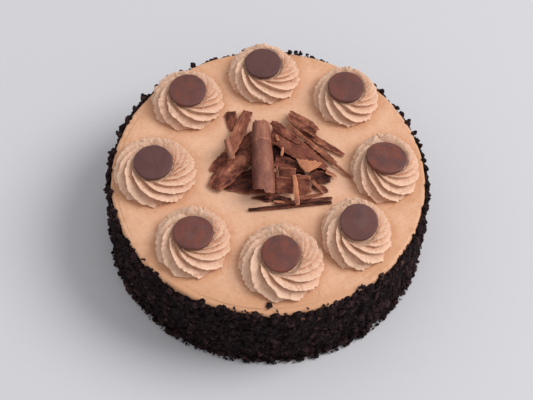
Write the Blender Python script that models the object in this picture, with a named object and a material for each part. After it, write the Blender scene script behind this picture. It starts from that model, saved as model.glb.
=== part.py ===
"""Round chocolate cream cake: crumbed sides, piped rosettes, chocolate discs and a heap of shavings.

Units are metres, +Z is up, and the origin is the centre of the flat base. The tables are in millimetres.
"""

import math
import random
from collections import namedtuple

import bmesh
import bpy
from mathutils import Matrix, Vector

MM = 0.001
GAP = 0.3 * MM

# The cream-covered cake under everything else.
CAKE_RADIUS = 117 * MM
CAKE_HEIGHT = 70 * MM
RIM_ROUND = 2.4 * MM
FOOT_BEVEL = 0.8 * MM
CAKE_SIDES = 72
RIM_STEPS = 3

# The band of cake crumbs pressed on the side.
COAT_THICKNESS = 3.6 * MM
COAT_LUMP = 0.8 * MM
COAT_FOOT = 0.5 * MM
COAT_TOP = CAKE_HEIGHT - RIM_ROUND
COAT_ROWS = 3
CRUMB_ROWS = 4
CRUMBS_PER_ROW = 17
CRUMB_SIZE = (3.4 * MM, 4.6 * MM)
CRUMB_FLATTEN = 0.5
CRUMB_SEED = 11

# A rosette is a rope of cream piped once round a circle through a star nozzle.
NOZZLE_TEETH = 12
COLUMNS_PER_TOOTH = 2
TIGHTENING = 0.27
TIGHT_SIDE = math.radians(70)
PATH_RADIUS = 20.0
ROPE_RADIUS = 9.0
ROSETTE_RADIUS = PATH_RADIUS + ROPE_RADIUS
DOME_POWER = 3.2
DOME_ROUND = 0.62
RIDGE_HEIGHT = 1.2
RIDGE_FADE = 0.35
TAIL_PLACE = (19.0, math.radians(97))
TAIL_WIDTH = 7.0
DIP_PLACE = (15.0, math.radians(-125))
DIP_WIDTH = 6.0
DIP_DEPTH = 1.3
ROW_ANGLES = [math.radians(a) for a in (8, 26, 46, 66, 86, 106, 126, 146)]
FOOT_SHRINK = 0.94

# The chocolate discs that lie on the rosettes.
DISC_THICKNESS = 4.8
DISC_EDGE_ROUND = 1.2
DISC_CROWN = 0.5
DISC_SIDES = 24

Rosette = namedtuple("Rosette", "x y half_x half_y height tail turn")
Disc = namedtuple("Disc", "x y z diameter tilt lean")

ROSETTES = [
    Rosette(x=-6.4, y=90.4, half_x=27.3, half_y=26.6, height=16.0, tail=4.0, turn=10),
    Rosette(x=57.5, y=71.8, half_x=24.8, half_y=26.4, height=15.6, tail=0.8, turn=3),
    Rosette(x=86.6, y=6.8, half_x=25.2, half_y=29.4, height=15.4, tail=4.5, turn=18),
    Rosette(x=65.0, y=-50.8, half_x=25.2, half_y=28.8, height=15.8, tail=1.2, turn=8),
    Rosette(x=11.9, y=-77.0, half_x=29.8, half_y=30.6, height=15.8, tail=3.5, turn=24),
    Rosette(x=-52.1, y=-63.0, half_x=26.8, half_y=28.8, height=15.2, tail=3.5, turn=14),
    Rosette(x=-83.7, y=-3.9, half_x=30.0, half_y=29.6, height=15.4, tail=0.5, turn=0),
    Rosette(x=-64.1, y=62.4, half_x=27.3, half_y=26.9, height=15.8, tail=0.8, turn=20),
]
DISCS = [
    Disc(x=-7.5, y=91.0, z=15.4, diameter=27.9, tilt=1, lean=0),
    Disc(x=56.4, y=71.2, z=15.5, diameter=27.9, tilt=2, lean=1),
    Disc(x=86.3, y=7.6, z=14.9, diameter=30.4, tilt=-8, lean=4),
    Disc(x=65.6, y=-50.2, z=17.2, diameter=27.4, tilt=16, lean=0),
    Disc(x=10.8, y=-77.9, z=16.0, diameter=27.5, tilt=12, lean=0),
    Disc(x=-51.6, y=-63.6, z=15.6, diameter=28.8, tilt=-4, lean=1),
    Disc(x=-84.4, y=-5.6, z=16.4, diameter=28.6, tilt=4, lean=0),
    Disc(x=-63.5, y=61.0, z=16.9, diameter=28.2, tilt=5, lean=0),
]

# Flat shavings run from start to end over the cake's top. Widths are at the start, the middle and the end, and
# slant moves the left corner of each end forwards. Roll lifts the left edge, in degrees.
Shard = namedtuple("Shard", "name start end widths roll thickness bow slants seed")
SHARDS = [
    Shard("stick_front", (-13.6, -33.6, 1.5), (47.2, -23.7, 1.5), (2.5, 3.1, 2.6), 0, 2.2, 0, (0, 0), 19),
    Shard("stick_front_back", (4.9, -27.2, 1.3), (47.4, -20.1, 1.3), (1.9, 2.3, 2.0), 0, 1.8, 0, (0, 0), 20),
    Shard("leaf_front_left", (-32, -13.6, 0.95), (6.4, -3.9, 0.95), (6, 21.6, 28.6), 0, 1.2, 0, (0, 0), 1),
    Shard("crust_front", (-10.6, -22.6, 1.0), (17.0, -22.4, 1.0), (1.8, 5.6, 2.6), 0, 1.2, 0, (0, 0), 31),
    Shard("strip_front", (20.6, -22.0, 1.0), (41.2, -16.6, 1.0), (1.6, 3.2, 1.2), 0, 1.0, 0, (0, 0), 18),
    Shard("leaf_under_middle", (3.0, 25.4, 0.95), (26.5, -10.8, 0.95), (8, 15.2, 9), 0, 1.2, 0, (0, 0), 32),
    Shard("leaf_under_right", (26.5, 13.5, 0.95), (46.5, -1.5, 0.95), (8, 9, 4), 0, 1.2, 0, (0, 0), 33),
    Shard("leaf_low_right", (33.0, -9.6, 1.0), (44.6, -14.2, 1.0), (5.4, 6.2, 1.6), 0, 1.2, 0, (0, 0), 34),
    Shard("slat_left", (-42.6, -0.4, 1.0), (-31.6, 18.2, 1.0), (4.6, 6.2, 3.4), 0, 1.1, 0, (0, 0), 41),
    Shard("chip_back_left", (-30.8, 54.6, 1.0), (-29.0, 37.0, 1.0), (7.4, 7.6, 3.4), 0, 1.2, 0, (0, 0), 4),
    Shard("plank_left", (-40.6, -17.0, 3.2), (-13.8, 21.2, 5.9), (11, 18.0, 16.5), -4, 2.0, 0.2, (0, 11), 2),
    Shard("plank_back_left", (-17.6, 53.9, 3.8), (-29.6, 10.6, 9.2), (8.2, 10.0, 7.8), 4, 1.5, 0.15, (0, 0), 3),
    Shard("strip_middle", (26.0, 29.5, 1.6), (49.8, 11.0, 1.2), (4.2, 6.2, 3.4), 0, 1.3, 0, (0, 0), 35),
    Shard("leaf_right", (1.2, 33.7, 5.0), (43.2, 4.0, 4.4), (11.6, 15.2, 4.0), -1, 1.6, 0.1, (-2.8, 0), 5),
    Shard("splinter_right", (13.3, 40.8, 6.6), (61.4, -2.0, 1.7), (2.2, 3.0, 1.6), 4, 1.4, 0, (0, 0), 7),
    Shard("strip_right", (25.0, 37.2, 3.4), (55.2, 18.6, 1.6), (5.0, 6.2, 3.4), -10, 1.6, 0.1, (0, 0), 9),
    Shard("slab_back_right", (13.5, 51.2, 5.7), (35.6, 35.0, 5.9), (9, 14, 9.5), -20, 2.4, 0.1, (-2, -2), 8),
    Shard("edge_right", (0.4, 42.6, 6.6), (22.4, 24.4, 6.4), (4.6, 7.6, 3.6), 0, 1.1, 0, (0, 0), 36),
    Shard("leaf_middle", (5.0, 10.6, 2.6), (26.0, 3.4, 2.5), (10.2, 9.6, 5.4), 0, 1.1, 0, (0, 0), 10),
    Shard("plum_right", (30.6, -0.8, 2.9), (45.8, -4.6, 2.6), (6.5, 11.5, 6.5), 0, 1.2, 0.05, (0, 0), 14),
    Shard("tip_right", (42.6, 0.2, 5.4), (50.4, -1.8, 2.7), (3.0, 3.0, 1.0), 0, 1.0, 0, (0, 0), 16),
    Shard("peg_middle", (9.8, 19.0, 7.1), (9.3, 12.9, 4.5), (1.6, 2.4, 1.2), 0, 1.0, 0, (0, 0), 37),
    Shard("chip_middle", (7.9, -1.6, 4.6), (20.1, -1.6, 4.6), (7.2, 7.6, 7.2), 35, 1.3, 0, (0, 0), 11),
    Shard("chip_front", (5.8, -13.4, 5.6), (18.8, -13.4, 5.6), (11.8, 12.0, 11.8), 31, 1.4, 0, (0, 0), 12),
    Shard("chip_front_right", (20.6, -12.4, 4.6), (31.0, -11.0, 4.6), (15.4, 14.4, 11.6), 28, 1.4, 0, (0, 0), 13),
    Shard("thorn_right", (32.0, -7.2, 4.6), (40.8, -16.6, 2.6), (1.8, 3.2, 1.0), -20, 1.1, 0.2, (0, 0), 15),
    Shard("sliver_middle", (6.0, 4.6, 4.0), (6.2, -5.0, 2.4), (1.2, 1.6, 1.0), 0, 1.0, 0, (0, 0), 38),
    Shard("leaf_tip_right", (29.8, 8.4, 7.2), (28.2, -1.6, 6.2), (19, 13, 1.6), 0, 1.2, 0.1, (0, 0), 6),
    Shard("ribbon_front", (19.0, -7.5, 10.5), (22.2, -30.3, 6.0), (3.0, 3.6, 2.6), 0, 1.0, 0.3, (0, 0), 17),
    Shard("flake_beside_curl", (4.6, 30.2, 7.5), (6.6, 25.4, 6.5), (1.6, 2.6, 1.4), 0, 1.0, 0, (0, 0), 39),
    Shard("bit_front", (4.6, -26.2, 3.1), (12.0, -26.5, 3.1), (1.2, 1.8, 1.0), 0, 1.0, 0, (0, 0), 40),
]
SHARD_LENGTH_STEPS = 6
SHARD_WIDTH_STEPS = 2
TORN_EDGE = 0.06
TORN_END = 0.5

# Shavings that rolled up. Turn is how far round the sheet goes, open_at is where its slit faces and notch is
# how much shorter its right side is at the end, where CUT_BACK also slopes the whole sheet back from its top.
# NARROWING is the share of its radius that it loses towards its start.
Curl = namedtuple("Curl", "name start end radius thickness turn open_at notch seed")
CURLS = [
    Curl("curl_large", (-7.3, 38.2, 9.6), (-2.2, -29.2, 9.8), 8.4, 1.3, 300, -90, 4.0, 21),
    Curl("curl_small", (-32.3, 20.8, 12.8), (-26.6, 1.0, 13.2), 2.7, 0.9, 290, -60, 0, 22),
]
CURL_SIDES = 12
CURL_LENGTH_STEPS = 3
CUT_BACK = 0.65
NARROWING = 0.25

COLOURS = {
    "mocha_cream": ((0.66, 0.40, 0.25), 0.55),
    "chocolate_crumb": ((0.016, 0.010, 0.009), 0.8),
    "dark_chocolate": ((0.075, 0.040, 0.034), 0.35),
    "chocolate_shaving": ((0.105, 0.045, 0.030), 0.5),
}


def clear_scene():
    for thing in list(bpy.data.objects):
        bpy.data.objects.remove(thing)


def material(name):
    """The Principled material of that name, made once from COLOURS."""
    found = bpy.data.materials.get(name)
    if found:
        return found
    made = bpy.data.materials.new(name)
    made.use_nodes = True
    shader = made.node_tree.nodes["Principled BSDF"]
    colour, roughness = COLOURS[name]
    shader.inputs["Base Color"].default_value = (*colour, 1)
    shader.inputs["Roughness"].default_value = roughness
    return made


def add_object(name, points, faces, material_name, smooth=True):
    """A mesh object from points and faces, with its faces turned outwards."""
    mesh = bpy.data.meshes.new(name)
    mesh.from_pydata([tuple(p) for p in points], [], faces)
    work = bmesh.new()
    work.from_mesh(mesh)
    bmesh.ops.recalc_face_normals(work, faces=work.faces)
    work.to_mesh(mesh)
    work.free()
    made = bpy.data.objects.new(name, mesh)
    bpy.context.scene.collection.objects.link(made)
    mesh.materials.append(material(material_name))
    if smooth:
        mesh.shade_smooth()
        mesh.set_sharp_from_angle(angle=math.radians(50))
    return made


def ring_faces(rows, columns):
    """Quads between closed rows of points, in the order that the rows were made."""
    faces = []
    for row in range(rows - 1):
        for column in range(columns):
            after = (column + 1) % columns
            low, high = row * columns, (row + 1) * columns
            faces.append((low + column, low + after, high + after, high + column))
    return faces


def turned(name, profile, sides, material_name):
    """A solid turned round Z from (radius, height) pairs, closed flat at both ends."""
    points = []
    for radius, height in profile:
        for side in range(sides):
            angle = math.tau * side / sides
            points.append((radius * math.cos(angle), radius * math.sin(angle), height))
    faces = ring_faces(len(profile), sides)
    faces.append(tuple(range(sides)))
    faces.append(tuple(range((len(profile) - 1) * sides, len(profile) * sides)))
    return add_object(name, points, faces, material_name)


def make_cake_body():
    """The cake in its cream: a plain drum with a softly rounded top edge."""
    profile = [(CAKE_RADIUS - FOOT_BEVEL, 0), (CAKE_RADIUS, FOOT_BEVEL)]
    for step in range(RIM_STEPS + 1):
        angle = math.pi / 2 * step / RIM_STEPS
        profile.append(
            (
                CAKE_RADIUS - RIM_ROUND * (1 - math.cos(angle)),
                CAKE_HEIGHT - RIM_ROUND * (1 - math.sin(angle)),
            )
        )
    return turned("cake_body", profile, CAKE_SIDES, "mocha_cream")


def lump(angle, height):
    """A slow wave over the crumb band, from -1 to 1, that never repeats within one turn."""
    turn = math.sin(17 * angle + 190 * height) + math.sin(29 * angle - 310 * height)
    return (turn + math.sin(41 * angle + 90 * height)) / 3


def make_crumb(rng, angle, height, size):
    """One angular crumb on the band: an icosahedron with its corners pushed in and out, pressed flat."""
    mesh = bpy.data.meshes.new("crumb")
    work = bmesh.new()
    bmesh.ops.create_icosphere(work, subdivisions=1, radius=size)
    spin = Matrix.Rotation(rng.uniform(0, math.tau), 3, "X")
    for corner in work.verts:
        corner.co = spin @ corner.co * rng.uniform(0.8, 1.15)
        corner.co.x *= CRUMB_FLATTEN
    work.to_mesh(mesh)
    work.free()
    made = bpy.data.objects.new("crumb", mesh)
    radius = CAKE_RADIUS + GAP + COAT_THICKNESS - 0.1 * size
    made.location = (radius * math.cos(angle), radius * math.sin(angle), height)
    made.rotation_euler.z = angle
    return made


def crumbs_round_the_side():
    """The large crumbs that stand out of the band, in staggered rows with random shifts."""
    rng = random.Random(CRUMB_SEED)
    made = []
    low = COAT_FOOT + CRUMB_SIZE[1] * 1.15
    high = COAT_TOP - CRUMB_SIZE[1] * 0.6
    for row in range(CRUMB_ROWS):
        for place in range(CRUMBS_PER_ROW):
            size = rng.uniform(*CRUMB_SIZE)
            shift = 0.37 * row + rng.uniform(-0.3, 0.3)
            angle = math.tau * (place + shift) / CRUMBS_PER_ROW
            height = low + (high - low) * (row + rng.uniform(-0.25, 0.25)) / (CRUMB_ROWS - 1)
            made.append(make_crumb(rng, angle, min(max(height, low), high), size))
    return made


def make_crumb_coat():
    """A ring of crumbs round the cake: a lumpy band, a gap away from the body, with whole crumbs fused on."""
    inner = CAKE_RADIUS + GAP
    outer = inner + COAT_THICKNESS
    rows = [(inner, COAT_FOOT, 0), (inner, COAT_TOP, 0)]
    for row in range(COAT_ROWS + 1):
        height = COAT_TOP - (COAT_TOP - COAT_FOOT) * row / COAT_ROWS
        rows.append((outer, height, COAT_LUMP))
    points = []
    for radius, height, swing in rows:
        for side in range(CAKE_SIDES):
            angle = math.tau * side / CAKE_SIDES
            reach = radius + swing * lump(angle, height)
            points.append((reach * math.cos(angle), reach * math.sin(angle), height))
    faces = ring_faces(len(rows), CAKE_SIDES)
    last = (len(rows) - 1) * CAKE_SIDES
    for side in range(CAKE_SIDES):
        after = (side + 1) % CAKE_SIDES
        faces.append((last + side, last + after, after, side))
    coat = add_object("crumb_coat", points, faces, "chocolate_crumb", smooth=False)
    fuse(coat, crumbs_round_the_side())
    return coat


def fuse(base, pieces):
    """Joins pieces to base with one Boolean union, keeps the largest body and removes the pieces."""
    group = bpy.data.collections.new("fused_on")
    bpy.context.scene.collection.children.link(group)
    for piece in pieces:
        group.objects.link(piece)
    union = base.modifiers.new("fuse", "BOOLEAN")
    union.operation = "UNION"
    union.operand_type = "COLLECTION"
    union.collection = group
    union.solver = "EXACT"
    apply_modifiers(base)
    for piece in pieces:
        bpy.data.objects.remove(piece)
    bpy.data.collections.remove(group)
    keep_largest_body(base)


def apply_modifiers(thing):
    """Bakes the modifiers of an object into its mesh."""
    bpy.context.view_layer.update()
    seen = thing.evaluated_get(bpy.context.evaluated_depsgraph_get())
    mesh = bpy.data.meshes.new_from_object(seen)
    thing.modifiers.clear()
    thing.data = mesh


def keep_largest_body(thing):
    """Drops every loose scrap and sealed hollow, leaving the one body with the most faces."""
    work = bmesh.new()
    work.from_mesh(thing.data)
    unseen = set(work.faces)
    bodies = []
    while unseen:
        queue = [unseen.pop()]
        body = list(queue)
        while queue:
            for edge in queue.pop().edges:
                for face in edge.link_faces:
                    if face in unseen:
                        unseen.remove(face)
                        queue.append(face)
                        body.append(face)
        bodies.append(body)
    bodies.sort(key=len)
    for body in bodies[:-1]:
        bmesh.ops.delete(work, geom=body, context="FACES")
    loose = [corner for corner in work.verts if not corner.link_faces]
    bmesh.ops.delete(work, geom=loose, context="VERTS")
    work.to_mesh(thing.data)
    work.free()


def dome(share):
    """Height share and slope of the rosette's dome at a share of its radius."""
    inside = max(1 - share**DOME_POWER, 1e-4)
    height = inside**DOME_ROUND
    slope = -DOME_ROUND * inside ** (DOME_ROUND - 1) * DOME_POWER * share ** (DOME_POWER - 1)
    return height, slope


def bump(x, y, place, width):
    """A soft round bump, 1 at its top, placed by distance and direction from the rosette's centre."""
    away_x = x - place[0] * math.cos(place[1])
    away_y = y - place[0] * math.sin(place[1])
    return math.exp(-(away_x**2 + away_y**2) / (2 * width**2))


def rosette_point(piece, tooth_angle, sweep, crest):
    """A point on the cream, in millimetres from the rosette's centre on the cake.

    The nozzle runs clockwise round a circle without turning, so the ridge of one tooth is that same circle
    moved off centre: it starts on the rosette's border and ends under the disc.
    """
    path_angle = tooth_angle - sweep
    x = PATH_RADIUS * math.cos(path_angle) + ROPE_RADIUS * math.cos(tooth_angle)
    y = PATH_RADIUS * math.sin(path_angle) + ROPE_RADIUS * math.sin(tooth_angle)
    radius, angle = math.hypot(x, y), math.atan2(y, x)
    height, slope = dome(radius / ROSETTE_RADIUS)
    steep = -slope * piece.height / ROSETTE_RADIUS
    length = math.hypot(1, steep)
    fade = min(1, (1 - height) / RIDGE_FADE + 0.35)
    push = RIDGE_HEIGHT * fade * crest
    lift = piece.tail * bump(x, y, TAIL_PLACE, TAIL_WIDTH) - DIP_DEPTH * bump(x, y, DIP_PLACE, DIP_WIDTH)
    radius += push * steep / length
    return (
        radius * math.cos(angle) * piece.half_x / ROSETTE_RADIUS,
        radius * math.sin(angle) * piece.half_y / ROSETTE_RADIUS,
        height * (piece.height + lift) + push / length,
    )


def make_rosette(number, piece):
    """A piped rosette: twelve ridges that sweep up to the disc, closer together on one side."""
    columns = NOZZLE_TEETH * COLUMNS_PER_TOOTH
    rows = []
    for sweep in ROW_ANGLES:
        row = []
        for column in range(columns):
            crest = math.cos(math.tau * column / COLUMNS_PER_TOOTH)
            even = math.radians(piece.turn) + math.tau * column / columns
            angle = even - TIGHTENING * math.sin(even - TIGHT_SIDE)
            row.append(Vector(rosette_point(piece, angle, sweep, crest)))
        rows.append(row)
    foot = [Vector((p.x * FOOT_SHRINK, p.y * FOOT_SHRINK, 0)) for p in rows[0]]
    base = Vector((piece.x * MM, piece.y * MM, CAKE_HEIGHT + GAP))
    points = [base + p * MM for row in [foot, *rows] for p in row]
    faces = ring_faces(len(rows) + 1, columns)
    faces.append(tuple(range(columns)))
    top = base + Vector((0, 0, piece.height * MM))
    points.append(top)
    last = len(rows) * columns
    for column in range(columns):
        faces.append((last + column, last + (column + 1) % columns, len(points) - 1))
    return add_object(f"rosette_{number}", points, faces, "mocha_cream")


def disc_profile(radius):
    """(radius, height) pairs round a disc with soft edges and a faintly crowned top, in metres."""
    half = DISC_THICKNESS / 2
    edge = DISC_EDGE_ROUND
    outline = [
        (radius - edge * 1.5, -half),
        (radius - edge * 0.2, -half + edge * 0.8),
        (radius, 0.2),
        (radius - edge * 0.6, half - edge * 0.3),
        (radius * 0.6, half + DISC_CROWN * 0.6),
    ]
    return [(r * MM, z * MM) for r, z in outline]


def place_disc(made, piece):
    made.location = (piece.x * MM, piece.y * MM, CAKE_HEIGHT + piece.z * MM)
    made.rotation_euler = (math.radians(piece.tilt), math.radians(piece.lean), 0)


def make_disc(number, piece):
    """A round chocolate disc lying on its rosette."""
    profile = disc_profile(piece.diameter / 2)
    made = turned(f"chocolate_disc_{number}", profile, DISC_SIDES, "dark_chocolate")
    place_disc(made, piece)
    return made


def press_disc_in(rosette, number, piece):
    """Cuts the disc's print into the rosette, a gap wider than the disc all round."""
    print_depth = DISC_THICKNESS * 2
    radius = (piece.diameter / 2 + GAP / MM) * MM
    low = (-DISC_THICKNESS / 2) * MM - GAP
    profile = [(radius, low), (radius, low + print_depth * MM)]
    cutter = turned(f"disc_print_{number}", profile, DISC_SIDES, "dark_chocolate")
    place_disc(cutter, piece)
    cutter.hide_render = True
    cutter.display_type = "WIRE"
    cut = rosette.modifiers.new("disc_print", "BOOLEAN")
    cut.operation = "DIFFERENCE"
    cut.object = cutter
    cut.solver = "EXACT"


def grid_solid(name, top, bottom, material_name):
    """A closed solid between two grids of points with the same shape, top over bottom."""
    rows, columns = len(top), len(top[0])
    points = [p for grid in (top, bottom) for row in grid for p in row]
    under = rows * columns
    faces = []
    for row in range(rows - 1):
        for column in range(columns - 1):
            a = row * columns + column
            b, c, d = a + 1, a + columns + 1, a + columns
            faces.append((a, b, c))
            faces.append((a, c, d))
            faces.append((under + c, under + b, under + a))
            faces.append((under + d, under + c, under + a))
    border = [column for column in range(columns)]
    border += [row * columns + columns - 1 for row in range(1, rows)]
    border += [(rows - 1) * columns + column for column in range(columns - 2, -1, -1)]
    border += [row * columns for row in range(rows - 2, 0, -1)]
    for here, there in zip(border, border[1:] + border[:1]):
        faces.append((here, under + here, under + there, there))
    return add_object(name, points, faces, material_name)


def across_width(widths, along):
    """The width at a share of the length: a curve through the three widths of a shaving."""
    first, middle, last = widths
    ends = first * (1 - along) * (1 - 2 * along) + last * along * (2 * along - 1)
    return ends + middle * 4 * along * (1 - along)


def make_shard(piece):
    """A flat or gently bowed flake of chocolate with torn edges."""
    rng = random.Random(piece.seed)
    length = math.dist(piece.start, piece.end)
    torn = [[rng.uniform(-1, 1) for _ in range(SHARD_LENGTH_STEPS + 1)] for _ in range(2)]
    top, bottom = [], []
    for step in range(SHARD_LENGTH_STEPS + 1):
        along = step / SHARD_LENGTH_STEPS
        half = across_width(piece.widths, along) / 2
        slant = piece.slants[0] * max(0, 1 - 2 * along) + piece.slants[1] * max(0, 2 * along - 1)
        upper, lower = [], []
        for place in range(SHARD_WIDTH_STEPS + 1):
            across = 2 * place / SHARD_WIDTH_STEPS - 1
            x = length * (along - 0.5) + slant * across
            if step in (0, SHARD_LENGTH_STEPS):
                x += TORN_END * rng.uniform(-1, 1)
            y = half * across * (1 + TORN_EDGE * torn[across > 0][step])
            z = -piece.bow * half / 2 * across**2
            upper.append((x * MM, y * MM, (z + piece.thickness / 2) * MM))
            lower.append((x * MM, y * MM, (z - piece.thickness / 2) * MM))
        top.append(upper)
        bottom.append(lower)
    made = grid_solid(piece.name, top, bottom, "chocolate_shaving")
    place_shaving(made, piece, piece.roll)
    return made


def make_curl(piece):
    """A shaving rolled into a quill: a bent sheet that leaves a slit along its underside."""
    rng = random.Random(piece.seed)
    length = math.dist(piece.start, piece.end)
    first = piece.open_at + (360 - piece.turn) / 2
    top, bottom = [], []
    for step in range(CURL_LENGTH_STEPS + 1):
        upper, lower = [], []
        outer = piece.radius * (1 - NARROWING * (1 - step / CURL_LENGTH_STEPS) ** 3)
        inner = outer - piece.thickness
        for side in range(CURL_SIDES + 1):
            angle = math.radians(first + piece.turn * side / CURL_SIDES)
            x = length * (step / CURL_LENGTH_STEPS - 0.5)
            if step in (0, CURL_LENGTH_STEPS):
                x += TORN_END * rng.uniform(-1, 1)
            if step == CURL_LENGTH_STEPS:
                x -= piece.notch * max(0, -math.cos(angle))
                x -= CUT_BACK * piece.radius * (1 - math.sin(angle))
            upper.append((x * MM, outer * math.cos(angle) * MM, outer * math.sin(angle) * MM))
            lower.append((x * MM, inner * math.cos(angle) * MM, inner * math.sin(angle) * MM))
        top.append(upper)
        bottom.append(lower)
    made = grid_solid(piece.name, top, bottom, "chocolate_shaving")
    place_shaving(made, piece, 0)
    return made


def place_shaving(made, piece, roll):
    """Lays a shaving between its start and its end, turned about that line by roll."""
    start, end = Vector(piece.start), Vector(piece.end)
    forward = (end - start).normalized()
    left = Vector((0, 0, 1)).cross(forward).normalized()
    upright = Matrix((forward, left, forward.cross(left))).transposed()
    turn = upright @ Matrix.Rotation(math.radians(roll), 3, "X")
    made.location = (start + end) / 2 * MM + Vector((0, 0, CAKE_HEIGHT))
    made.rotation_euler = turn.to_euler()


def main():
    clear_scene()
    make_cake_body()
    make_crumb_coat()
    for number, (cream, chocolate) in enumerate(zip(ROSETTES, DISCS), start=1):
        rosette = make_rosette(number, cream)
        make_disc(number, chocolate)
        press_disc_in(rosette, number, chocolate)
    for piece in SHARDS:
        make_shard(piece)
    for piece in CURLS:
        make_curl(piece)


main()
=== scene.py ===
"""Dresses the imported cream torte: spread and piped cream, a coat of crumbs, discs and a heap of shavings.

Tables are in millimetres, in the CAD's own frame. The origin is the centre of the cake's foot, and the camera
looks along +Y.
"""

import itertools
import math
from collections import namedtuple

import bpy
import numpy as np
from bpy.props import FloatProperty, FloatVectorProperty, IntProperty, PointerProperty
from mathutils import Matrix, Vector


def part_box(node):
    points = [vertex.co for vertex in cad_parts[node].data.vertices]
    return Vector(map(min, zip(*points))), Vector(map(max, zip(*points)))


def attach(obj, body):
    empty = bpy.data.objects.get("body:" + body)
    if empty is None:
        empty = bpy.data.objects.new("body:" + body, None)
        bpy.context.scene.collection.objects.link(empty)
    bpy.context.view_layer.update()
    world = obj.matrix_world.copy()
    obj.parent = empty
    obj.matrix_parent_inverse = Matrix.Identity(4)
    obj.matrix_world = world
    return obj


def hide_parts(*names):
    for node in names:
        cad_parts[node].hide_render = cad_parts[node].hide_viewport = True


bl_info = {
    "name": "Cream Torte",
    "version": (1, 0, 0),
    "blender": (4, 5, 0),
    "location": "3D View > Sidebar > Torte",
    "description": "Dresses a cream torte with crumbs, rosettes, discs and shavings",
    "category": "Add Mesh",
}

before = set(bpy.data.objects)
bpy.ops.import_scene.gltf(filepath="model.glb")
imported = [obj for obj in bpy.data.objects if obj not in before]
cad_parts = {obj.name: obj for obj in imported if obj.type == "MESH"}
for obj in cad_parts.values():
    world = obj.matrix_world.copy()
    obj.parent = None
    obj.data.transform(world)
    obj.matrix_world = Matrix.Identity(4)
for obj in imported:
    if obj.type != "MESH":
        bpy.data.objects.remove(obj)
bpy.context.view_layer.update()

MM = 0.001
CAKE_RADIUS, _, CAKE_HEIGHT = (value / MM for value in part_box("cake_body")[1])

# The photograph's camera, in metres: where it stands, what it looks at and its roll. Its lens follows from
# the focal length and the photograph's width, both in pixels.
CAMERA_EYE = (-0.00071, -0.53658, 0.87316)
CAMERA_AIM = (-0.00071, -0.02333, 0.07)
CAMERA_ROLL = math.radians(2.26)
CAMERA_SENSOR = 36
FOCAL_PIXELS, PHOTO_PIXELS = 1300, 533
CAMERA_LENS = FOCAL_PIXELS / PHOTO_PIXELS * CAMERA_SENSOR
# The large soft light, also in metres.
LIGHT_EYE = (3.7, 0.55, 4.05)
LIGHT_SIZE = 3.4

# A rosette is a rope of cream piped once round a circle through a star nozzle.
NOZZLE_TEETH = 12
COLUMNS_PER_TOOTH = 26
TIGHTENING = 0.27
TIGHT_SIDE = math.radians(70)
VALLEY = 0.74
PATH_RADIUS = 20.0
ROPE_RADIUS = 9.0
ROSETTE_RADIUS = PATH_RADIUS + ROPE_RADIUS
DOME_POWER = 3.2
DOME_ROUND = 0.62
RIDGE_FADE = 0.35
TAIL_PLACE = (19.0, math.radians(97))
TAIL_WIDTH = 7.0
DIP_PLACE = (15.0, math.radians(-125))
DIP_WIDTH = 6.0
DIP_DEPTH = 1.3
SWEEP_FIRST, SWEEP_LAST, SWEEP_ROWS = math.radians(4), math.radians(166), 112
# The rows that close a rosette underneath: each one's share of the border's reach, and its height.
ROSETTE_FOOT = ((0.9, -0.6), (0.94, -0.15), (0.985, 0.15))
DISC_THICKNESS = 4.8
DISC_EDGE_ROUND = 1.2
DISC_CROWN = 0.5

Rosette = namedtuple("Rosette", "x y half_x half_y height tail turn")
ROSETTES = list(itertools.starmap(Rosette, [
    (-6.4, 90.4, 27.3, 26.6, 16, 4, 10),
    (57.5, 71.8, 24.8, 26.4, 15.6, 0.8, 3),
    (86.6, 6.8, 25.2, 29.4, 15.4, 4.5, 18),
    (65, -50.8, 25.2, 28.8, 15.8, 1.2, 8),
    (11.9, -77, 29.8, 30.6, 15.8, 3.5, 24),
    (-52.1, -63, 26.8, 28.8, 15.2, 3.5, 14),
    (-83.7, -3.9, 30, 29.6, 15.4, 0.5, 0),
    (-64.1, 62.4, 27.3, 26.9, 15.8, 0.8, 20),
]))
# Rust is how red a disc is, and bloom how blotched.
Disc = namedtuple("Disc", "x y z diameter tilt lean rust bloom dimple")
DISCS = list(itertools.starmap(Disc, [
    (-7.5, 91, 15.4, 27.9, 1, 0, 0, 0.1, 1),
    (56.4, 71.2, 15.5, 27.9, 2, 1, 0.5, 1, 0),
    (86.3, 7.6, 14.9, 30.4, -8, 4, 0.95, 1, 0),
    (65.6, -50.2, 17.2, 27.4, 16, 0, 0.25, 1, 0),
    (10.8, -77.9, 16, 27.5, 12, 0, 0.8, 0.7, 0),
    (-51.6, -63.6, 15.6, 28.8, -4, 1, 0.7, 0.8, 0),
    (-84.4, -5.6, 16.4, 28.6, 4, 0, 0, 0.1, 1),
    (-63.5, 61, 16.9, 28.2, 5, 0, 0.5, 0.8, 0),
]))

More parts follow.
